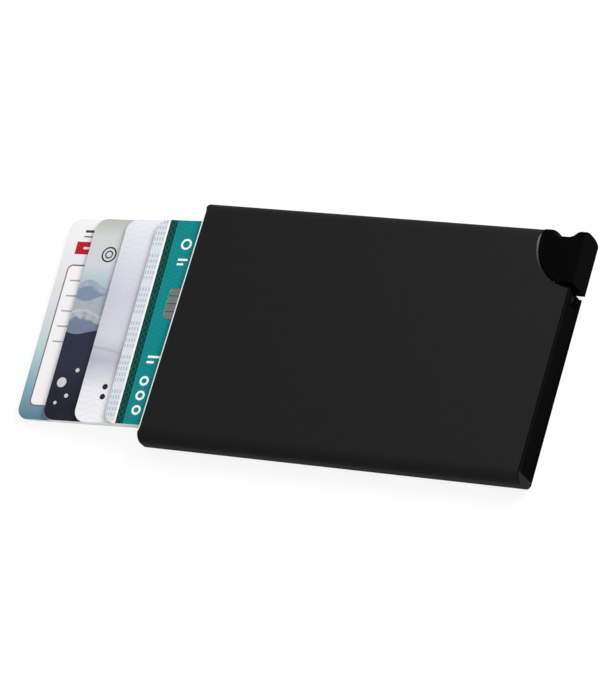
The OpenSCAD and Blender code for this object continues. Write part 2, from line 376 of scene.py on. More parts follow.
@dataclass(frozen=True)
class BareMetal:
    """Bare or thinly plated metal that is cut, ground or drawn along an axis."""

    name: str
    colour: Colour
    roughness: float
    cells: Point = (9000.0, 500.0, 9000.0)
    darker: float = 0.92
    spread: float = 0.1
    depth: float = 0.003
    strength: float = 0.4
    detail: float = 2.0

    def make(self) -> Material:
        """Builds the material.

        Returns:
            The material.
        """
        g = Graph(self.name)
        streak = g.streaks(self.cells, self.detail)
        return g.surface(
            Base_Color=g.mix(streak, shade(self.colour, self.darker), self.colour),
            Metallic=1.0,
            Roughness=streak.about(self.roughness, self.spread),
            Normal=g.bump(streak, self.depth, self.strength),
        )


@dataclass(frozen=True)
class Moulding:
    """Black satin surface with a fine grain: moulded plastic, or the spring's steel, coloured near black as
    painted shade.
    """

    name: str
    colour: Colour
    roughness: float
    gloss: float
    depth: float = 0.008
    grain: float = 5200.0
    mottle: float = 180.0

    def make(self) -> Material:
        """Builds the material.

        Returns:
            The material.
        """
        g = Graph(self.name)
        fine = g.noise(self.grain)
        broad = g.noise(self.mottle)
        return g.surface(
            Base_Color=g.mix(fine * 0.5 + broad * 0.5, shade(self.colour, 0.8), self.colour),
            Specular_IOR_Level=self.gloss,
            Roughness=fine.about(self.roughness, 0.12),
            Normal=g.bump(fine, self.depth, 0.6),
        )


@dataclass(frozen=True)
class PlainPlastic:
    """Plastic without relief, in layers or evenly mottled: a card's core, or resin."""

    name: str
    colour: Colour
    darker: float
    roughness: float
    cells: Point
    detail: float
    gloss: float = 0.2
    spread: float = 0.1

    def make(self) -> Material:
        """Builds the material.

        Returns:
            The material.
        """
        g = Graph(self.name)
        layers = g.streaks(self.cells, self.detail)
        return g.surface(
            Base_Color=g.mix(layers, shade(self.colour, self.darker), self.colour),
            Specular_IOR_Level=self.gloss,
            Roughness=layers.about(self.roughness, self.spread),
        )


@dataclass(frozen=True)
class Felt:
    """Short dark felt."""

    colour: Colour = (0.030, 0.030, 0.033)
    fleck: Colour = (0.085, 0.085, 0.09)
    cells: Point = (2600.0, 5200.0, 2600.0)
    clumps: float = 900.0
    depth: float = 0.08

    def make(self) -> Material:
        """Builds the material.

        Returns:
            The material.
        """
        g = Graph("felt")
        hair = g.streaks(self.cells, 3.0)
        clump = g.noise(self.clumps)
        return g.surface(
            Base_Color=g.mix(hair * clump, self.colour, self.fleck),
            Roughness=0.95,
            Specular_IOR_Level=0.1,
            Sheen_Weight=0.3,
            Normal=g.bump(hair + clump, self.depth, 0.9),
        )


@dataclass(frozen=True, kw_only=True)
class CardFace:
    """One face of a card: a print under a satin laminate with fine dust."""

    name: str
    centre: Point
    turn: float
    roughness: float = 0.34
    spread: float = 0.08
    dust: float = 2400.0
    gloss: float = 0.2
    depth: float = 0.0

    def draw(self, g: Graph, x: Sock, y: Sock) -> Sock:
        """Draws the print, on coordinates from the middle of the card."""
        raise NotImplementedError

    def make(self) -> Material:
        """Builds the material.

        Returns:
            The material.
        """
        g = Graph(self.name)
        x, y, _ = g.local(self.centre, self.turn)
        dust = g.noise(self.dust)
        relief = {"Normal": g.bump(dust, self.depth, 0.4)} if self.depth else {}
        return g.surface(
            Base_Color=self.draw(g, x, y),
            Specular_IOR_Level=self.gloss,
            Roughness=dust.about(self.roughness, self.spread),
            **relief,
        )


class CardArt(Enum):
    """The four printed designs. All of them are plain generic patterns."""

    TEAL = "card_teal"
    PALE = "card_pale"
    BLUE = "card_blue"
    AQUA = "card_aqua"


@dataclass(frozen=True, kw_only=True)
class CardPrint(CardFace):
    """The printed front of a card.

    The designs are drawn on u, the distance from the card's end, and v, the distance from
    its middle line, and then darkened by ink.
    """

    art: CardArt
    length: float
    gloss: float = 0.05
    depth: float = 0.002
    ink: float = 0.18
    half: float = 27.0

    def draw(self, g: Graph, x: Sock, y: Sock) -> Sock:
        """Draws the card's design.

        Args:
            g: the graph.
            x: place along the card, from its middle.
            y: place across the card, from its middle.

        Returns:
            The colour.
        """
        design = {
            CardArt.TEAL: self._teal,
            CardArt.PALE: self._pale,
            CardArt.BLUE: self._blue,
            CardArt.AQUA: self._aqua,
        }[self.art]
        return g.mix(self.ink, design(g, x + self.length / 2, y), BLACK)

    @staticmethod
    def _marks(u: Sock, v: Sock, rings: Rows, bars: Rows = ()) -> Sock:
        """Mask of rings and bars.

        Args:
            u: distance from the card's end.
            v: distance from its middle line.
            rings: rows of centre, outer radius and line width.
            bars: rows of two opposite corners.

        Returns:
            The mask.
        """
        masks = [
            (((u - x) ** 2 + (v - y) ** 2) ** 0.5).band(radius - line, radius, 0.12)
            for x, y, radius, line in rings
        ]
        masks += [u.band(x0, x1, 0.1) * v.band(y0, y1, 0.1) for x0, y0, x1, y1 in bars]
        return reduce(Sock.most, masks)

    @staticmethod
    def _panel(u: Sock, v: Sock, low: Flat, high: Flat, radius: float) -> Sock:
        """Mask of a rectangle with round corners.

        Args:
            u: distance from the card's end.
            v: distance from its middle line.
            low: its lowest corner.
            high: its highest corner.
            radius: radius of its corners.

        Returns:
            The mask.
        """
        away = [
            (abs(place - (a + b) / 2) - ((b - a) / 2 - radius)).most(0.0) ** 2
            for place, a, b in zip((u, v), low, high)
        ]
        return 1 - ((away[0] + away[1]) ** 0.5).rise(radius, 0.1)

    def _teal(self, g: Graph, u: Sock, v: Sock) -> Sock:
        """Pale ticked strip, white line, dark braid and a teal field with fine dashes.

        Args:
            g: the graph.
            u: distance from the card's end.
            v: distance from its middle line.

        Returns:
            The colour.
        """
        ticks = u.lines(0.74, 0.16, 0.16) * v.lines(1.5, 0.46, 0.3)
        groups = (v / 9.1).fract().rise(0.2, 0.1)
        strip = g.mix(ticks * groups * 0.85, (0.72, 0.76, 0.82), (0.38, 0.43, 0.48))
        from_middle = u - 4.6
        swing = (v * (math.tau / 3.4)).sin() * 0.62
        holes = abs(from_middle - swing).rise(0.2, 0.2) * abs(from_middle + swing).rise(0.2, 0.2)
        braid = g.mix(holes, (0.007, 0.100, 0.080), (0.003, 0.036, 0.030))
        stagger = (u / 1.3).floor() * 0.6
        dash = u.lines(1.3, 0.4, 0.3) * (v + stagger).lines(1.2, 0.22, 0.25)
        body = g.lay(
            (0.0045, 0.240, 0.250),
            (g.noise(180.0) * 0.5, (0.004, 0.200, 0.215)),
            (dash * 0.4, (0.016, 0.31, 0.31)),
        )
        rings = ((9.7, 20.6, 1.45, 0.5), *((8.4, y, 1.25, 0.55) for y in (-15.6, -19.4, -23.2)))
        bars = (
            (8.5, 16.2, 11.2, 16.75),
            (8.5, 15.0, 10.3, 15.5),
            (7.6, -9.6, 11.0, -9.0),
            (7.6, -11.0, 9.6, -10.4),
        )
        return g.lay(
            strip,
            (u.rise(3.05), (0.93, 0.95, 0.95)),
            (u.rise(3.55), braid),
            (u.rise(5.65, 0.1), body),
            (self._marks(u, v, rings, bars) * u.rise(5.9), (0.95, 0.98, 0.97)),
        )

    def _pale(self, g: Graph, u: Sock, v: Sock) -> Sock:
        """Pale lavender ground with fine waved lines, flakes, a grey sweep and two dots.

        Args:
            g: the graph.
            u: distance from the card's end.
            v: distance from its middle line.

        Returns:
            The colour.
        """
        stops = {
            0.00: (0.93, 0.94, 0.96),
            0.16: (0.84, 0.84, 0.88),
            0.30: (0.47, 0.47, 0.56),
            0.42: (0.66, 0.66, 0.74),
            0.62: (0.61, 0.61, 0.71),
            1.00: (0.84, 0.85, 0.89),
        }
        wave = (v + (u * 0.9).sin() * 0.7).lines(1.6, 0.12, 0.2)
        sweep = 1 - abs(v + 7.5 + u * u * 0.02).rise(0.35, 0.4)
        flake = g.noise(420.0) * u.rise(2.4, 4.0)
        dots = self._marks(u, v, [(6.6, y, 0.75, 0.75) for y in (-17.6, -20.2)])
        return g.lay(
            g.ramp(v, -self.half, self.half, stops),
            (wave * 0.22, (0.50, 0.50, 0.58)),
            (sweep * 0.35, (0.32, 0.32, 0.38)),
            (flake * 0.18, (0.95, 0.95, 0.97)),
            (dots, (0.02, 0.02, 0.025)),
        )

    def _blue(self, g: Graph, u: Sock, v: Sock) -> Sock:
        """Grey-green sky over rolling blue bands, with a navy field below.

        Args:
            g: the graph.
            u: distance from the card's end.
            v: distance from its middle line.

        Returns:
            The colour.
        """
        roll = (u * 0.55).sin() * 1.1
        grain = g.noise(520.0, 3.0)
        stops = {
            0.00: (0.40, 0.53, 0.60),
            0.35: (0.66, 0.69, 0.73),
            0.75: (0.66, 0.68, 0.64),
            1.00: (0.50, 0.51, 0.47),
        }
        ground = g.mix(v.rise(-17.0, 14.0), (0.012, 0.012, 0.019), (0.025, 0.028, 0.050))
        specks = (
            (2.9, -17.0, 1.3, 1.3),
            (6.4, -13.6, 0.55, 0.55),
            (5.2, -20.4, 0.55, 0.55),
            (2.6, -22.4, 0.45, 0.45),
        )
        crest = 1 - abs(v - 9.4 - roll + grain * 1.6).rise(0.9, 0.9)
        low_crest = 1 - abs(v - 1.9 - roll * 0.7 + grain * 2.4).rise(1.1, 0.8)
        target = self._marks(u, v, [(6.1, 17.4, 2.1, 0.42), (6.1, 17.4, 1.1, 0.35)])
        return g.lay(
            ground,
            (grain * 0.3, (0.045, 0.05, 0.085)),
            (self._marks(u, v, specks) * 0.9, (0.72, 0.72, 0.74)),
            (
                (v + 3.6 + roll * 0.5).rise(0.0, 0.2),
                g.mix(grain * 0.5, (0.16, 0.19, 0.29), (0.26, 0.32, 0.40)),
            ),
            (
                (v - 1.2 - roll * 0.7).rise(0.0, 0.2),
                g.mix(grain * 0.4, (0.34, 0.40, 0.46), (0.62, 0.64, 0.64)),
            ),
            ((v - 5.6 + roll * 0.8).rise(0.0, 0.2), (0.22, 0.29, 0.40)),
            ((v - 9.4 - roll).rise(0.0, 0.25), g.ramp(v, 8.0, self.half, stops)),
            (crest * 0.55 * grain, (0.80, 0.83, 0.86)),
            (low_crest * 0.9 * grain, (0.74, 0.76, 0.76)),
            (target, (0.028, 0.028, 0.055)),
        )

    def _aqua(self, g: Graph, u: Sock, v: Sock) -> Sock:
        """Aqua border round a pale panel, with a red band and thin grey rules.

        Args:
            g: the graph.
            u: distance from the card's end.
            v: distance from its middle line.

        Returns:
            The colour.
        """
        stops = {
            0.00: (0.105, 0.22, 0.31),
            0.18: (0.27, 0.45, 0.52),
            0.36: (0.52, 0.68, 0.70),
            0.52: (0.72, 0.74, 0.76),
            1.00: (0.96, 0.95, 0.96),
        }
        inner = self._panel(u, v, (2.95, -23.05), (60.0, 14.25), 1.3)
        panel = g.mix(inner, (0.20, 0.15, 0.17), (0.95, 0.93, 0.94))
        rules = v.lines(4.1, 0.2, 0.16) * u.rise(4.3, 0.1) * v.rise(-8.0, 0.1) * inner
        red = u.rise(3.4, 0.15) * v.band(17.4, 20.8, 0.15)
        white_bar = u.rise(5.6, 0.1) * v.band(18.8, 19.4, 0.1)
        title = u.rise(4.9, 0.1) * (v.band(23.3, 24.0, 0.1) + v.band(22.0, 22.35, 0.1))
        return g.lay(
            g.ramp(v, -self.half, self.half, stops),
            (self._panel(u, v, (2.6, -23.4), (60.0, 14.6), 1.6), panel),
            (rules * 0.65, (0.12, 0.12, 0.14)),
            (red, (0.52, 0.012, 0.035)),
            (red * white_bar, (0.86, 0.82, 0.83)),
            (title, (0.035, 0.07, 0.11)),
        )


@dataclass(frozen=True, kw_only=True)
class CardBack(CardFace):
    """Plain printed back of a card, with a dark stripe and a pale panel."""

    colour: Colour

    def draw(self, g: Graph, x: Sock, y: Sock) -> Sock:
        """Draws the back.

        Args:
            g: the graph.
            x: place along the card, from its middle.
            y: place across the card, from its middle.

        Returns:
            The colour.
        """
        weave = (x + y).lines(1.1, 0.14, 0.2) * 0.2
        panel = y.band(-2.5, 6.5, 0.1) * x.band(-36.0, 18.0, 0.1)
        return g.lay(
            self.colour,
            (weave, shade(self.colour, 1.5)),
            (y.band(10.5, 22.0, 0.1), (0.012, 0.011, 0.011)),
            (panel, (0.78, 0.78, 0.76)),
        )


# Modelling


def lengthwise(a: Vector, b: Vector) -> bool:
    """Whether an edge runs along the case."""
    return abs(a.x - b.x) > HALF_LENGTH


def upright(a: Vector, b: Vector) -> bool:
    """Whether an edge stands up."""
    return abs(a.z - b.z) > 0.1


def level(a: Vector, b: Vector) -> bool:
    """Whether an edge lies level."""
    return abs(a.z - b.z) < TOUCH


def faces_up(_centre: Vector, normal: Vector) -> bool:
    """Whether a face looks up."""
    return normal.z > 0.9


def faces_down(_centre: Vector, normal: Vector) -> bool:
    """Whether a face looks down."""
    return normal.z < -0.9


class Carving(Enum):
    """What becomes of an object and its cutter."""

    TAKE = "DIFFERENCE"
    JOIN = "UNION"
    SHARE = "INTERSECT"


class Bench:
    """Modelling steps, as by hand. Sizes and places are in millimetres."""

    @staticmethod
    def clear() -> None:
        """Leaves edit mode and deselects everything."""
        active = bpy.context.view_layer.objects.active
        if active is not None and active.mode != "OBJECT":
            bpy.ops.object.mode_set(mode="OBJECT")
        bpy.ops.object.select_all(action="DESELECT")

    @classmethod
    def hold(cls, obj: Piece) -> None:
        """Makes one object the only selected and the active one.

        Args:
            obj: the object.
        """
        cls.clear()
        obj.select_set(True)
        bpy.context.view_layer.objects.active = obj

    @classmethod
    def open(cls, obj: Piece) -> None:
        """Opens an object in edit mode with all of it selected.

        Args:
            obj: the object.
        """
        cls.hold(obj)
        bpy.ops.object.mode_set(mode="EDIT")
        bpy.ops.mesh.select_all(action="SELECT")

    @staticmethod
    def done() -> None:
        """Goes back to object mode."""
        bpy.ops.object.mode_set(mode="OBJECT")

    @staticmethod
    def add(name: str, data: bpy.types.ID) -> Piece:
        """Adds an object to the scene.

        Args:
            name: its name.
            data: its mesh, curve, lamp or camera.

        Returns:
            The object.
        """
        obj = bpy.data.objects.new(name, data)
        bpy.context.scene.collection.objects.link(obj)
        return obj

    @classmethod
    def settle(cls, name: str) -> Piece:
        """Names the active object and puts its place into its mesh.

        Args:
            name: the name.

        Returns:
            The object.
        """
        obj = bpy.context.view_layer.objects.active
        bpy.ops.object.transform_apply(location=True, rotation=True, scale=True)
        obj.name = name
        obj.data.name = name
        return obj

    @classmethod
    def block(cls, name: str, low: Point, high: Point) -> Piece:
        """Adds a block.

        Args:
            name: the object's name.
            low: its lowest corner.
            high: its highest corner.

        Returns:
            The object.
        """
        cls.clear()
        middle = [(a + b) / 2 * MM for a, b in zip(low, high)]
        size = [(b - a) * MM for a, b in zip(low, high)]
        bpy.ops.mesh.primitive_cube_add(size=1, location=middle, scale=size)
        return cls.settle(name)

    @classmethod
    def drum(cls, name: str, centre: Flat, low: float, high: float, radii: Flat, sides: int = 128) -> Piece:
        """Adds a round bar or a cone along Z.

        Args:
            name: the object's name.
            centre: place of its axis.
            low: lower end.
            high: upper end.
            radii: radius at the lower and at the upper end.
            sides: faces round it.

        Returns:
            The object.
        """
        cls.clear()
        bpy.ops.mesh.primitive_cone_add(
            vertices=sides,
            radius1=radii[0] * MM,
            radius2=radii[1] * MM,
            depth=(high - low) * MM,
            location=(centre[0] * MM, centre[1] * MM, (low + high) / 2 * MM),
        )
        return cls.settle(name)

    @classmethod
    def pick(cls, obj: Piece, test: Test, faces: bool = False) -> int:
        """Opens an object in edit mode with those edges or faces selected that pass a test.

        Args:
            obj: the object.
            test: takes both ends of an edge, or a face's centre and its normal.
            faces: picks faces and not edges.

        Returns:
            How many are selected.
        """
        cls.hold(obj)
        bpy.context.tool_settings.mesh_select_mode = (False, not faces, faces)
        mesh = obj.data
        for items in (mesh.vertices, mesh.edges, mesh.polygons):
            items.foreach_set("select", [False] * len(items))
        if faces:
            picked = [face for face in mesh.polygons if test(face.center / MM, face.normal)]
        else:
            spots = [vertex.co / MM for vertex in mesh.vertices]
            picked = [edge for edge in mesh.edges if test(*(spots[i] for i in edge.vertices))]
        for item in picked:
            item.select = True
            for index in item.vertices:
                mesh.vertices[index].select = True
        bpy.ops.object.mode_set(mode="EDIT")
        return len(picked)

    @classmethod
    def round_edges(cls, obj: Piece, test: Test, reach: float, segments: int) -> None:
        """Rounds the edges whose ends pass a test.

        Args:
            obj: the object.
            test: takes both ends of an edge.
            reach: how far the rounding reaches from the edge. At a square edge it is the radius.
            segments: faces across the rounding.
        """
        if cls.pick(obj, test):
            bpy.ops.mesh.bevel(offset=reach * MM, segments=segments, profile=0.5, affect="EDGES")
        cls.done()

    @classmethod
    def slice(cls, obj: Piece, at: Point, normal: Point, clear: bool = True) -> None:
        """Cuts an object by a plane.

        Args:
            obj: the object.
            at: a point of the plane.
            normal: its normal. What lies on that side goes when clear is set.
            clear: takes the side away and closes the cut.
        """
        cls.open(obj)
        spot = [v * MM for v in at]
        bpy.ops.mesh.bisect(
            plane_co=spot,
            plane_no=normal,
            use_fill=clear,
            clear_outer=clear,
            threshold=1e-7,
        )
        cls.done()

    @classmethod
    def modify(cls, obj: Piece, kind: str, **settings: Any) -> None:
        """Applies a modifier.

        Args:
            obj: the object.
            kind: the modifier's type.
            settings: its properties.
        """
        cls.hold(obj)
        step = obj.modifiers.new(kind.lower(), kind)
        for name, value in settings.items():
            setattr(step, name, value)
        bpy.ops.object.modifier_apply(modifier=step.name)

    @classmethod
    def carve(cls, obj: Piece, *cutters: Piece, how: Carving = Carving.TAKE) -> None:
        """Takes cutters out of an object, or joins them or keeps what they share, and removes them.

        The exact solver needs room, so each step is done at a thousand times the size.

        Args:
            obj: the object.
            cutters: the other objects.
            how: what becomes of them.
        """
        up, down = (Matrix.Scale(size, 4) for size in (1 / MM, MM))
        for cutter in cutters:
            for item in (obj, cutter):
                item.data.transform(up)
            cls.modify(obj, "BOOLEAN", operation=how.value, solver="EXACT", object=cutter)
            obj.data.transform(down)
            bpy.data.objects.remove(cutter)

    @classmethod
    def merge(cls, obj: Piece, flat: float = 0.5) -> None:
        """Merges doubles and dissolves what is flat.

        Args:
            obj: the object.
            flat: angle below which faces count as flat, in degrees. None is dissolved at 0.
        """
        cls.open(obj)
        bpy.ops.mesh.remove_doubles(threshold=0.002 * MM)
        if flat:
            bpy.ops.mesh.dissolve_limited(angle_limit=math.radians(flat), delimit={"MATERIAL"})
        cls.done()

    @classmethod
    def soften(cls, obj: Piece, width: float, segments: int = 2, angle: float = 35.0) -> None:
        """Rounds by a width every edge that is sharper than an angle, in degrees."""
        settings = {"limit_method": "ANGLE", "angle_limit": math.radians(angle), "miter_outer": "MITER_ARC"}
        cls.modify(obj, "BEVEL", width=width * MM, segments=segments, **settings)

    @classmethod
    def smooth(cls, obj: Piece, angle: float = 32.0) -> None:
        """Shades smooth by angle, with normals held by the large faces.

        Args:
            obj: the object.
            angle: angle up to which edges are smooth, in degrees.
        """
        cls.hold(obj)
        bpy.ops.object.shade_smooth_by_angle(angle=math.radians(angle))
        cls.modify(obj, "WEIGHTED_NORMAL", keep_sharp=True, weight=100)

    @classmethod
    def copy_node(cls, node: Piece, name: str) -> Piece:
        """Copies a node's mesh as a new merged piece.

        Args:
            node: the CAD node.
            name: the piece's name.

        Returns:
            The piece.
        """
        obj = cls.add(name, node.data.copy())
        obj.data.name = name
        obj.data.materials.clear()
        cls.merge(obj)
        return obj

    @staticmethod
    def paint(obj: Piece, *materials: Material) -> None:
        """Gives an object its materials.

        Args:
            obj: the object.
            materials: the materials, in order.
        """
        obj.data.materials.clear()
        for material in materials:
            obj.data.materials.append(material)

    @staticmethod
    def assign(obj: Piece, index: int, test: Test) -> None:
        """Gives a material to the faces that pass a test.

        Args:
            obj: the object.
            index: the material's number.
            test: takes a face's centre and its normal.
        """
        for face in obj.data.polygons:
            if test(face.center / MM, face.normal):
                face.material_index = index

    @staticmethod
    def set_down(obj: Piece, centre: Point, turn: float) -> None:
        """Turns a mesh that is drawn about the origin by degrees about Z, and moves it to its centre."""
        turned = Matrix.Rotation(math.radians(turn), 4, "Z")
        obj.data.transform(Matrix.Translation(Vector(centre) * MM) @ turned)


def mount(obj: Piece, body: Body, slot: str, *nodes: str) -> Piece:
    """Puts a piece on its body and reports it.

    Args:
        obj: the piece.
        body: the body that it rides on.
        slot: name of a material slot. It is not used.
        nodes: the CAD nodes that it stands for.

    Returns:
        The piece.
    """
    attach(obj, body.value)
    if nodes:
        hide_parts(*nodes)
    LOG.info("%s: %d faces on %s", obj.name, len(obj.data.polygons), body.value)
    return obj


# Sub-assemblies


@dataclass
class CaseShell:
    """The extruded case with its rounded long edges, bevelled ends and corner cut-out."""

    half_width: float = 31.5
    edge_radius: float = 3.2
    channel_heights: Flat = (0.8, 7.2)
    channel_radius: float = 0.5
    cut_radius: float = 11.4
    mouth_bevel: float = 0.5
    mouth_deep: float = 0.3
    end_bevel: float = 0.35
    rim_round: float = 0.12
    over: float = 1.0

    def build(self, skin: Material, lip: Material, rim: Material) -> Piece:
        """Models the case.

        Args:
            skin: finish of the case.
            lip: finish of the bevel at the mouth.
            rim: finish of the milled edge round the cut-out.

        Returns:
            The piece.
        """
        x0, x1 = -HALF_LENGTH, HALF_LENGTH
        case = Bench.block("case_shell", (x0, -self.half_width, 0), (x1, self.half_width, HEIGHT))
        Bench.round_edges(case, lengthwise, self.edge_radius, segments=14)
        for height, side in ((HEIGHT, 1), (0, -1)):
            mouth_slope = (-self.mouth_deep, 0.0, side * self.mouth_bevel)
            Bench.slice(case, (x0 + self.mouth_bevel, 0, height), mouth_slope)
        for height, side in ((HEIGHT, 1), (0, -1)):
            Bench.slice(case, (x1 - self.end_bevel, 0, height), (1, 0, side))
        Bench.carve(case, self._channel(), *self._corner_cutters())
        Bench.merge(case, flat=0)
        Bench.round_edges(case, self._on_mouth_rim, self.rim_round, segments=2)
        Bench.paint(case, skin, lip, rim)
        Bench.assign(case, 1, self._on_lip)
        Bench.assign(case, 2, self._on_cut_rim)
        Bench.smooth(case)
        return mount(case, Body.CASE, "anodised", "case")

    def _on_mouth_rim(self, a: Vector, b: Vector) -> bool:
        """Whether an edge lies on the inner rim of the mouth."""
        at_mouth = max(a.x, b.x) < TOUCH - HALF_LENGTH
        across = max(abs(a.y), abs(b.y)) < CHANNEL_SIDE + NEAR
        low, high = self.channel_heights
        return at_mouth and across and low - NEAR < min(a.z, b.z) and max(a.z, b.z) < high + NEAR

    @staticmethod
    def _on_lip(centre: Vector, normal: Vector) -> bool:
        """Whether a face belongs to the bevel at the mouth."""
        sloped = normal.x < -0.3 and abs(normal.z) > 0.5
        return sloped and centre.x < 0.6 - HALF_LENGTH and min(centre.z, HEIGHT - centre.z) < 0.35

    def _on_cut_rim(self, centre: Vector, normal: Vector) -> bool:
        """Whether a face belongs to the bevel round the corner cut-out."""
        away = math.dist(centre.xy, CUT_CENTRE)
        return away < self.cut_radius + 0.4 and 0.3 < abs(normal.z) < 0.9

    def _channel(self) -> Piece:
        """Makes the bar that clears the card channel.

        Returns:
            The cutter.
        """
        end = HALF_LENGTH + self.over
        low, high = self.channel_heights
        bar = Bench.block("channel", (-end, -CHANNEL_SIDE, low), (end, CHANNEL_SIDE, high))
        Bench.round_edges(bar, lengthwise, self.channel_radius, segments=5)
        return bar

    def _corner_cutters(self) -> tuple[Piece, ...]:
        """Makes the drum that cuts the corner, and the cones that bevel its rims.

        Returns:
            The three cutters.
        """
        r, over = self.cut_radius, self.over
        start = self.end_bevel + 0.2
        narrow, wide = r - 0.2, r + self.end_bevel + over
        drum = Bench.drum("corner", CUT_CENTRE, -over, HEIGHT + over, (r, r))
        front = Bench.drum("front_rim", CUT_CENTRE, HEIGHT - start, HEIGHT + over, (narrow, wide))
        back = Bench.drum("back_rim", CUT_CENTRE, -over, start, (wide, narrow))
        return drum, front, back


@dataclass
class ThumbBlock:
    """The scooped thumb block of the lever, which fills the round cut-out.

    Each side of the scoop has its x at the outside, its x at the floor, and the reach of the
    roundings there. side_round is the depth of the long side's rounding and its height.
    """

    start: float = 38.0
    end: float = 51.4
    side: float = 31.35
    radius: float = 11.1
    scoop_left: Point = (43.0, 44.1, 0.69)
    scoop_right: Point = (49.2, 47.6, 0.62)
    scoop_floor: float = 29.85
    scoop_over: float = 1.5
    side_round: Flat = (1.3, 3.2)
    end_round: float = 0.3
    hub_room: float = 2.4

    def build(self) -> Piece:
        """Models the block.

        Its long side bulges: it is rounded in a flattened block, which is then raised to height.

        Returns:
            The block.
        """
        hinge = HINGE[:2]
        flat = HEIGHT * self.side_round[0] / self.side_round[1]
        block = Bench.block("thumb_block", (self.start, hinge[1], 0), (self.end, self.side, flat))
        Bench.carve(block, self._scoop())
        Bench.merge(block, flat=0.2)
        for row, y in enumerate((self.side, self.scoop_floor)):
            for wall in (self.scoop_left, self.scoop_right):
                self._round_upright(block, Vector((wall[row], y)), wall[2])

        def on_rim(a: Vector, b: Vector) -> bool:
            """Whether an edge of the front or back face lies on the long side."""
            outside = level(a, b) and min(a.z, flat - a.z) < TOUCH
            return outside and min(a.y, b.y) > self.scoop_floor - NEAR

        def at_end(a: Vector, b: Vector) -> bool:
            """Whether an edge goes round the block's end."""
            return min(a.x, b.x) > self.end - TOUCH and max(a.y, b.y) > hinge[1] + 2 * NEAR

        Bench.round_edges(block, on_rim, self.side_round[0], segments=8)
        block.data.transform(Matrix.Diagonal((1.0, 1.0, HEIGHT / flat, 1.0)))
        Bench.round_edges(block, at_end, self.end_round, segments=3)
        radii = (self.radius, self.radius)
        outline = Bench.drum("outline", CUT_CENTRE, -3, HEIGHT + 3, radii, sides=144)
        Bench.carve(block, outline, how=Carving.SHARE)
        Bench.carve(block, *self._hub_cutters())
        return block

    @staticmethod
    def _round_upright(block: Piece, spot: Vector, reach: float) -> None:
        """Rounds the upright edge at a spot.

        Args:
            block: the block.
            spot: the edge's place.
            reach: how far the rounding reaches.
        """

        def stands_there(a: Vector, b: Vector) -> bool:
            """Whether both ends of an edge lie at the spot."""
            return max((a.xy - spot).length, (b.xy - spot).length) < NEAR

        Bench.round_edges(block, stands_there, reach, segments=6)

    def _hub_cutters(self) -> tuple[Piece, Piece]:
        """Makes what clears the hub and the way from it to the end.

        Returns:
            The two cutters.
        """
        x, y, _ = HINGE
        room = self.hub_room
        ring = Bench.drum("hub_ring", (x, y), -1, HEIGHT + 1, (room, room), sides=64)
        space = Bench.block("hub_space", (x, y - 2, -1), (x + 10, y + room, HEIGHT + 1))
        return ring, space

    def _scoop(self) -> Piece:
        """Makes the cutter of the finger scoop, which is wider at the outside.

        Returns:
            The cutter.
        """
        deep = self.side - self.scoop_floor
        low = (self.scoop_left[1], self.scoop_floor, -1)
        high = (self.scoop_right[1], self.side + self.scoop_over, HEIGHT + 1)
        scoop = Bench.block("scoop", low, high)
        middle = (low[0] + high[0]) / 2
        for vertex in scoop.data.vertices:
            x, y = vertex.co.x / MM, vertex.co.y / MM
            if y > self.side:
                edge = self.scoop_left[0] if x < middle else self.scoop_right[0]
                vertex.co.x += (edge - x) * (deep + self.scoop_over) / deep * MM
        return scoop


@dataclass
class Mechanism:
    """End cap, lever and hinge pin.

    The space between cleared_low and cleared_high is made free for the finer thumb block, and
    a neck, which laps over the hub, joins the two.
    """

    cap_round: float = 0.09
    lever_round: float = 0.13
    pin_radius: float = 0.79
    pin_ends: Flat = (1.0, 7.13)
    pin_round: float = 0.15
    cleared_low: Point = (30.0, 17.6, -2.0)
    cleared_high: Point = (60.0, 40.0, 10.0)
    neck_x: Flat = (47.41, 49.86)
    neck_z: Flat = (2.12, 5.88)
    neck_end: float = 19.4
    lap: float = 0.15

    def build_cap(self, node: Piece, skin: Material) -> Piece:
        """Finishes the end cap from its solid, with broken edges.

        Args:
            node: the CAD node.
            skin: its finish.

        Returns:
            The piece.
        """
        cap = Bench.copy_node(node, "end_cap_moulding")
        Bench.soften(cap, self.cap_round)
        Bench.paint(cap, skin)
        Bench.smooth(cap)
        return mount(cap, Body.CASE, "black_plastic", "end_cap")

    def build_lever(self, node: Piece, skin: Material) -> Piece:
        """Finishes the lever from its solid, with a finer thumb block and rounded edges.

        Args:
            node: the CAD node.
            skin: its finish.

        Returns:
            The piece.
        """
        lever = Bench.copy_node(node, "lever_moulding")
        Bench.carve(lever, Bench.block("past_hub", self.cleared_low, self.cleared_high))
        low = (self.neck_x[0], self.cleared_low[1] - self.lap, self.neck_z[0])
        neck = Bench.block("neck", low, (self.neck_x[1], self.neck_end, self.neck_z[1]))
        Bench.carve(lever, neck, ThumbBlock().build(), how=Carving.JOIN)
        Bench.merge(lever, flat=0.2)
        Bench.soften(lever, self.lever_round, angle=40)
        Bench.paint(lever, skin)
        Bench.smooth(lever)
        return mount(lever, Body.LEVER, "lever_plastic", "lever")

    def build_pin(self, skin: Material) -> Piece:
        """Models the hinge pin with rounded ends.

        Args:
            skin: its finish.

        Returns:
            The piece.
        """
        radii = (self.pin_radius, self.pin_radius)
        pin = Bench.drum("hinge_pin_ground", HINGE[:2], *self.pin_ends, radii, sides=48)
        Bench.round_edges(pin, level, self.pin_round, segments=3)
        Bench.paint(pin, skin)
        Bench.smooth(pin)
        return mount(pin, Body.CASE, "pin_steel", "hinge_pin")


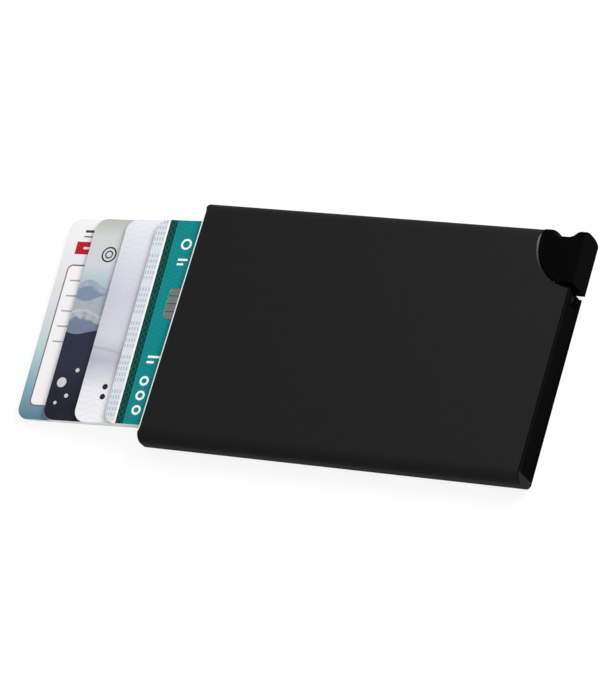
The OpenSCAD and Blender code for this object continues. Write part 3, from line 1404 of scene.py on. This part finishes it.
@dataclass
class ReturnSpring:
    """The torsion spring round the pin. The last of its turn and one leg move with the lever."""

    radius: float = 1.33
    wire: float = 0.45
    start: float = 260.0
    sweep: float = 1000.0
    pitch: float = 0.55
    leg: float = 5.2
    moving_turn: float = 45.0
    coil_steps: int = 108
    leg_steps: int = 8

    def build(self, skin: Material) -> None:
        """Winds the coil with its fixed leg, and the leg that turns with the lever.

        Args:
            skin: finish of the wire.
        """
        fixed = 1 - self.moving_turn / self.sweep
        coil_places = [i / self.coil_steps for i in range(self.coil_steps + 1)]
        leg_places = [fixed + (1 - fixed) * i / self.leg_steps for i in range(self.leg_steps + 1)]
        coil = self._wire("return_spring_coil", [-1.0, *coil_places])
        leg = self._wire("return_spring_leg", [*leg_places, 2.0])
        for piece in (coil, leg):
            Bench.paint(piece, skin)
            Bench.smooth(piece, 60)
        mount(coil, Body.CASE, "spring_steel", "return_spring")
        mount(leg, Body.LEVER, "spring_steel")

    def _wire_at(self, t: float) -> Vector:
        """Finds the middle of the wire.

        Args:
            t: 0 and 1 are the ends of the coil, and beyond lie the legs.

        Returns:
            The place.
        """
        along = min(max(t, 0.0), 1.0)
        angle = math.radians(self.start + self.sweep * along)
        out = (t - along) * self.leg
        rise = self.pitch * self.sweep / 360 * (along - 0.5)
        x = self.radius * math.cos(angle) - out * math.sin(angle)
        y = self.radius * math.sin(angle) + out * math.cos(angle)
        return Vector((HINGE[0] + x, HINGE[1] + y, HINGE[2] + rise))

    def _wire(self, name: str, places: Sequence[float]) -> Piece:
        """Draws a round wire and makes it a mesh.

        Args:
            name: the object's name.
            places: places along the spring that it goes through.

        Returns:
            The object.
        """
        Bench.clear()
        curve = bpy.data.curves.new(name, "CURVE")
        curve.dimensions = "3D"
        curve.bevel_depth = self.wire / 2 * MM
        curve.bevel_resolution = 3
        curve.use_fill_caps = True
        spline = curve.splines.new("POLY")
        spline.points.add(len(places) - 1)
        for point, t in zip(spline.points, places):
            point.co = (*(self._wire_at(t) * MM), 1.0)
        Bench.hold(Bench.add(name, curve))
        bpy.ops.object.convert(target="MESH")
        made = bpy.context.view_layer.objects.active
        Bench.open(made)
        bpy.ops.mesh.remove_doubles(threshold=0.002 * MM)
        bpy.ops.mesh.normals_make_consistent(inside=False)
        Bench.done()
        return made


@dataclass
class FeltStrip:
    """One strip of felt inside the mouth, with a slightly uneven nap.

    Its waves are in radians a millimetre.
    """

    name: str
    node: str
    pile_up: bool
    edge_round: float = 0.14
    cells: int = 40
    nap: float = 0.03
    waves: tuple[float, ...] = (9.1, 5.3, 7.7, 3.1)

    def build(self, skin: Material) -> Piece:
        """Models the strip inside its solid's box.

        Args:
            skin: its finish.

        Returns:
            The piece.
        """
        low, high = (Vector(corner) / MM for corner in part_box(self.node))
        strip = Bench.block(self.name, tuple(low), tuple(high))
        Bench.round_edges(strip, lambda a, b: True, self.edge_round, segments=2)
        Bench.open(strip)
        bpy.ops.mesh.subdivide(number_cuts=self.cells)
        Bench.done()
        side = high.z if self.pile_up else low.z
        inwards = -1 if self.pile_up else 1
        x_wave, y_bend, y_wave, x_shift = self.waves
        for vertex in strip.data.vertices:
            p = vertex.co / MM
            if abs(p.z - side) < self.nap:
                dent = math.sin(p.x * x_wave + math.sin(p.y * y_bend))
                dent *= math.sin(p.y * y_wave + p.x * x_shift)
                vertex.co.z += inwards * self.nap * (0.5 + 0.5 * dent) * MM
        Bench.paint(strip, skin)
        Bench.smooth(strip, 60)
        return mount(strip, Body.CASE, "felt", self.node)


@dataclass
class ContactPlate:
    """The card's contact plate, with its contacts parted by narrow lines.

    Start and middle are the place of the plate on the card, from its end and its middle line.
    The cuts are shares of the plate's length and width.
    """

    centre: Point
    turn: float
    card_length: float
    start: float = 8.7
    length: float = 10.6
    middle: float = 4.8
    width: float = 8.3
    thick: float = 0.25
    corner: float = 1.2
    line: float = 0.16
    sink: float = 0.05
    length_cuts: tuple[float, ...] = (0.36, 0.64)
    width_cuts: tuple[float, ...] = (0.25, 0.5, 0.75)

    @property
    def low(self) -> Flat:
        """The plate's lowest corner, from the middle of the card."""
        return self.start - self.card_length / 2, self.middle - self.width / 2

    def outline(self, name: str, grow: float, high: float) -> Piece:
        """Makes a rounded plate about the middle of the card's top face.

        Args:
            name: the object's name.
            grow: how much larger than the plate it is all round.
            high: height of its top over the card.

        Returns:
            The object.
        """
        x0, y0 = (v - grow for v in self.low)
        x1, y1 = x0 + self.length + 2 * grow, y0 + self.width + 2 * grow
        plate = Bench.block(name, (x0, y0, -self.thick), (x1, y1, high))
        Bench.round_edges(plate, upright, self.corner + grow, segments=8)
        return plate

    def recess(self, card: Piece) -> None:
        """Cuts the shallow recess that the plate lies in.

        Args:
            card: the card.
        """
        cutter = self.outline("recess", 0.02, 0.4)
        Bench.set_down(cutter, self.centre, self.turn)
        Bench.carve(card, cutter)

    def build(self, plating: Material, resin: Material) -> Piece:
        """Models the plate: cut into contacts, with the lines between them sunk.

        Args:
            plating: finish of the contacts.
            resin: finish of the lines.

        Returns:
            The piece.
        """
        plate = self.outline("contact_plate", 0.0, 0.0)
        x0, y0 = self.low
        for share in self.length_cuts:
            Bench.slice(plate, (x0 + share * self.length, 0, 0), (1, 0, 0), clear=False)
        for share in self.width_cuts:
            Bench.slice(plate, (0, y0 + share * self.width, 0), (0, 1, 0), clear=False)
        Bench.pick(plate, faces_up, faces=True)
        bpy.ops.mesh.inset(thickness=self.line / 2 * MM, depth=0.0, use_individual=True)
        Bench.done()
        Bench.paint(plate, plating, resin)
        mesh = plate.data
        top = [face for face in mesh.polygons if faces_up(face.center, face.normal)]
        lines = [face for face in top if not face.select]
        contacts = {index for face in top if face.select for index in face.vertices}
        for face in lines:
            face.material_index = 1
        for index in {index for face in lines for index in face.vertices} - contacts:
            mesh.vertices[index].co.z -= self.sink * MM
        Bench.set_down(plate, self.centre, self.turn)
        Bench.hold(plate)
        bpy.ops.object.shade_flat()
        return mount(plate, Body.FRONT_CARD, "contact_metal", "chip_plate")


@dataclass
class Card:
    """One card, with printed faces and a white edge. Layer 0 is the lowest of the four."""

    node: str
    body: Body
    art: CardArt
    out: float
    layer: int
    back: Colour
    length: float = 85.6
    width: float = 53.98
    thick: float = 0.76
    corner: float = 3.18
    edge_round: float = 0.05
    pitch: float = 1.25
    side: float = 0.7
    gap: float = 0.84

    @property
    def turn(self) -> float:
        """How far the card lies turned in the channel, with a gap on either side.

        Returns:
            The angle in degrees.
        """
        across, along = self.width / 2 - self.corner, self.length / 2 - self.corner
        reach = (CHANNEL_SIDE - self.gap - self.corner) / math.hypot(across, along)
        return math.degrees(math.atan2(along, across) - math.acos(reach))

    @property
    def centre(self) -> Point:
        """Middle of the card."""
        height = HEIGHT / 2 + (self.layer - 1.5) * self.pitch
        return self.length / 2 - HALF_LENGTH - self.out, self.side, height

    def build(self, core: Material) -> Piece:
        """Models the card and dresses its faces.

        Args:
            core: finish of its edge.

        Returns:
            The piece.
        """
        half = (self.length / 2, self.width / 2, self.thick / 2)
        card = Bench.block(f"{self.node}_print", tuple(-h for h in half), half)
        Bench.round_edges(card, upright, self.corner, segments=12)
        Bench.round_edges(card, level, self.edge_round, segments=1)
        Bench.set_down(card, self.centre, self.turn)
        name = self.art.value
        place = {"centre": self.centre, "turn": self.turn}
        front = CardPrint(name=name, art=self.art, length=self.length, **place)
        back = CardBack(name=f"{name}_back", colour=self.back, **place)
        Bench.paint(card, core, front.make(), back.make())
        Bench.assign(card, 1, faces_up)
        Bench.assign(card, 2, faces_down)
        return mount(card, self.body, name, self.node)

    def contact_plate(self) -> ContactPlate:
        """The contact plate in the card's top face."""
        x, y, z = self.centre
        return ContactPlate((x, y, z + self.thick / 2), self.turn, self.length)


@dataclass
class Studio:
    """Pale floor, white surroundings, soft lamps and the camera. Its places are in metres.

    Each lamp has its name, place, size and power. The floor shows white and keeps a share,
    shadow, of the object's shadow.
    """

    floor_half: float = 3.0
    floor_colour: Colour = (0.96, 0.96, 0.96)
    floor_glow: float = 1.03
    shadow: float = 0.18
    ambient: float = 0.55
    lamps: tuple[tuple[str, Point, Flat, float], ...] = (
        ("key", (-0.35, 0.75, 0.95), (0.9, 0.7), 1.6),
        ("fill", (0.75, -0.55, 0.9), (0.8, 0.8), 3.0),
        ("gloss", (0.26, 0.20, 0.27), (0.25, 0.2), 1.9),
    )
    camera_at: Point = (0.46779878, -0.3093296, 0.78343671)
    camera_turn: Point = (26.85545899, 25.31803153, 17.35457297)
    lens: float = 212.617
    sensor: float = 36.0
    clip: Flat = (0.05, 20.0)

    def build(self) -> None:
        """Sets the stage, the lamps, the world and the camera."""
        self._floor()
        self._world()
        for lamp in self.lamps:
            self._lamp(*lamp)
        self._camera()
        bpy.context.scene.view_settings.view_transform = "Standard"

    @staticmethod
    def _seen(g: Graph) -> Sock:
        """Mask that is 1 for camera, glossy and transmission rays."""
        rays = g.node("ShaderNodeLightPath")
        kinds = ("Is Camera Ray", "Is Glossy Ray", "Is Transmission Ray")
        return reduce(Sock.most, (rays.output(kind) for kind in kinds))

    def _floor(self) -> None:
        """Adds the plain pale floor."""
        Bench.clear()
        bpy.ops.mesh.primitive_plane_add(size=2 * self.floor_half, location=(0, 0, 0))
        floor = Bench.settle("floor")
        g = Graph("floor")
        plain = g.node("ShaderNodeBsdfDiffuse", sockets={0: self.floor_colour})
        white = g.node("ShaderNodeEmission", sockets={0: WHITE, 1: self.floor_glow})
        sockets = {0: self._seen(g) * (1 - self.shadow), 1: plain, 2: white}
        Bench.paint(floor, g.close(g.node("ShaderNodeMixShader", sockets=sockets)))

    def _world(self) -> None:
        """Adds surroundings that show white and light the object at a plain level."""
        g = Graph("surroundings", Owner.WORLD)
        level_sockets = {0: self._seen(g), "To Min": self.ambient, "To Max": 1.0}
        light = g.node("ShaderNodeMapRange", sockets=level_sockets)
        white = g.node("ShaderNodeBackground", sockets={0: WHITE, 1: light})
        bpy.context.scene.world = g.close(white)

    @staticmethod
    def _lamp(name: str, at: Point, size: Flat, power: float) -> None:
        """Adds a soft rectangular lamp that faces the object.

        Args:
            name: its name.
            at: its place, in metres.
            size: its width and height, in metres.
            power: its power, in watts.
        """
        lamp = bpy.data.lights.new(name, "AREA")
        lamp.shape = "RECTANGLE"
        lamp.size, lamp.size_y = size
        lamp.energy = power
        obj = Bench.add(name, lamp)
        obj.location = at
        obj.rotation_euler = (-Vector(at)).to_track_quat("-Z", "Y").to_euler()

    def _camera(self) -> None:
        """Sets the camera at the photograph's angle."""
        data = bpy.data.cameras.new("camera")
        data.sensor_fit = "AUTO"
        data.sensor_width = self.sensor
        data.lens = self.lens
        data.clip_start, data.clip_end = self.clip
        camera = Bench.add("camera", data)
        camera.location = self.camera_at
        camera.rotation_euler = [math.radians(a) for a in self.camera_turn]
        bpy.context.scene.camera = camera


def build_mechanism(nodes: dict[str, Piece]) -> None:
    """Builds the end cap, the lever, the pin and the spring.

    Args:
        nodes: the CAD nodes by name.
    """
    cap_skin = Moulding("black_plastic", (0.0017, 0.0017, 0.0019), 0.6, 0.003)
    lever_skin = Moulding("lever_plastic", (0.0019, 0.0019, 0.0021), 0.55, 0.003)
    pin_skin = BareMetal("pin_steel", (0.6, 0.6, 0.61), 0.25, (2000, 2000, 9000), 0.86, 0.14, 0.004, 0.5)
    # The spring wire is coloured near black: painted shade, which keeps the gap by the lever dark where the
    # coil would show bright.
    spring_shade_skin = Moulding("spring_steel", (0.004, 0.004, 0.0045), 0.35, 0.03, depth=0.001)
    mechanism = Mechanism()
    mechanism.build_cap(nodes["end_cap"], cap_skin.make())
    mechanism.build_lever(nodes["lever"], lever_skin.make())
    mechanism.build_pin(pin_skin.make())
    ReturnSpring().build(spring_shade_skin.make())


def build_cards() -> None:
    """Builds the four cards and the contact plate of the front one."""
    core = PlainPlastic("card_core", (0.80, 0.80, 0.80), 0.9, 0.55, (60, 60, 9000), 1.0).make()
    cards = (
        Card("card_back", Body.BACK_CARD, CardArt.AQUA, 39.6, 0, (0.42, 0.60, 0.66)),
        Card("card_third", Body.THIRD_CARD, CardArt.BLUE, 31.4, 1, (0.16, 0.22, 0.34)),
        Card("card_second", Body.SECOND_CARD, CardArt.PALE, 21.7, 2, (0.66, 0.66, 0.72)),
        Card("card_front", Body.FRONT_CARD, CardArt.TEAL, 12.3, 3, (0.02, 0.26, 0.26)),
    )
    even = (700, 700, 700)
    plating = BareMetal("contact_metal", (0.15, 0.165, 0.165), 0.36, even, 0.8, 0.15, detail=3.0)
    resin = PlainPlastic("contact_resin", (0.018, 0.018, 0.018), 2 / 3, 0.6, (1500, 1500, 1500), 2.0)
    for card in cards:
        piece = card.build(core)
        if card.body is Body.FRONT_CARD:
            plate = card.contact_plate()
            plate.recess(piece)
            plate.build(plating.make(), resin.make())
        Bench.smooth(piece)


def main() -> None:
    """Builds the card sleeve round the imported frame."""
    logging.basicConfig(level=logging.INFO, format="%(name)s %(message)s")
    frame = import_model()
    Studio().build()
    lip = BareMetal("cut_edge", (0.86, 0.86, 0.88), 0.32)
    rim = BareMetal("milled_edge", (0.040, 0.040, 0.042), 0.36)
    CaseShell().build(Anodised().make(), lip.make(), rim.make())
    build_mechanism(frame["nodes"])
    felt = Felt().make()
    FeltStrip("felt_front_nap", "felt_strip_front", False).build(felt)
    FeltStrip("felt_back_nap", "felt_strip_back", True).build(felt)
    build_cards()


if __name__ == "__main__":
    main()
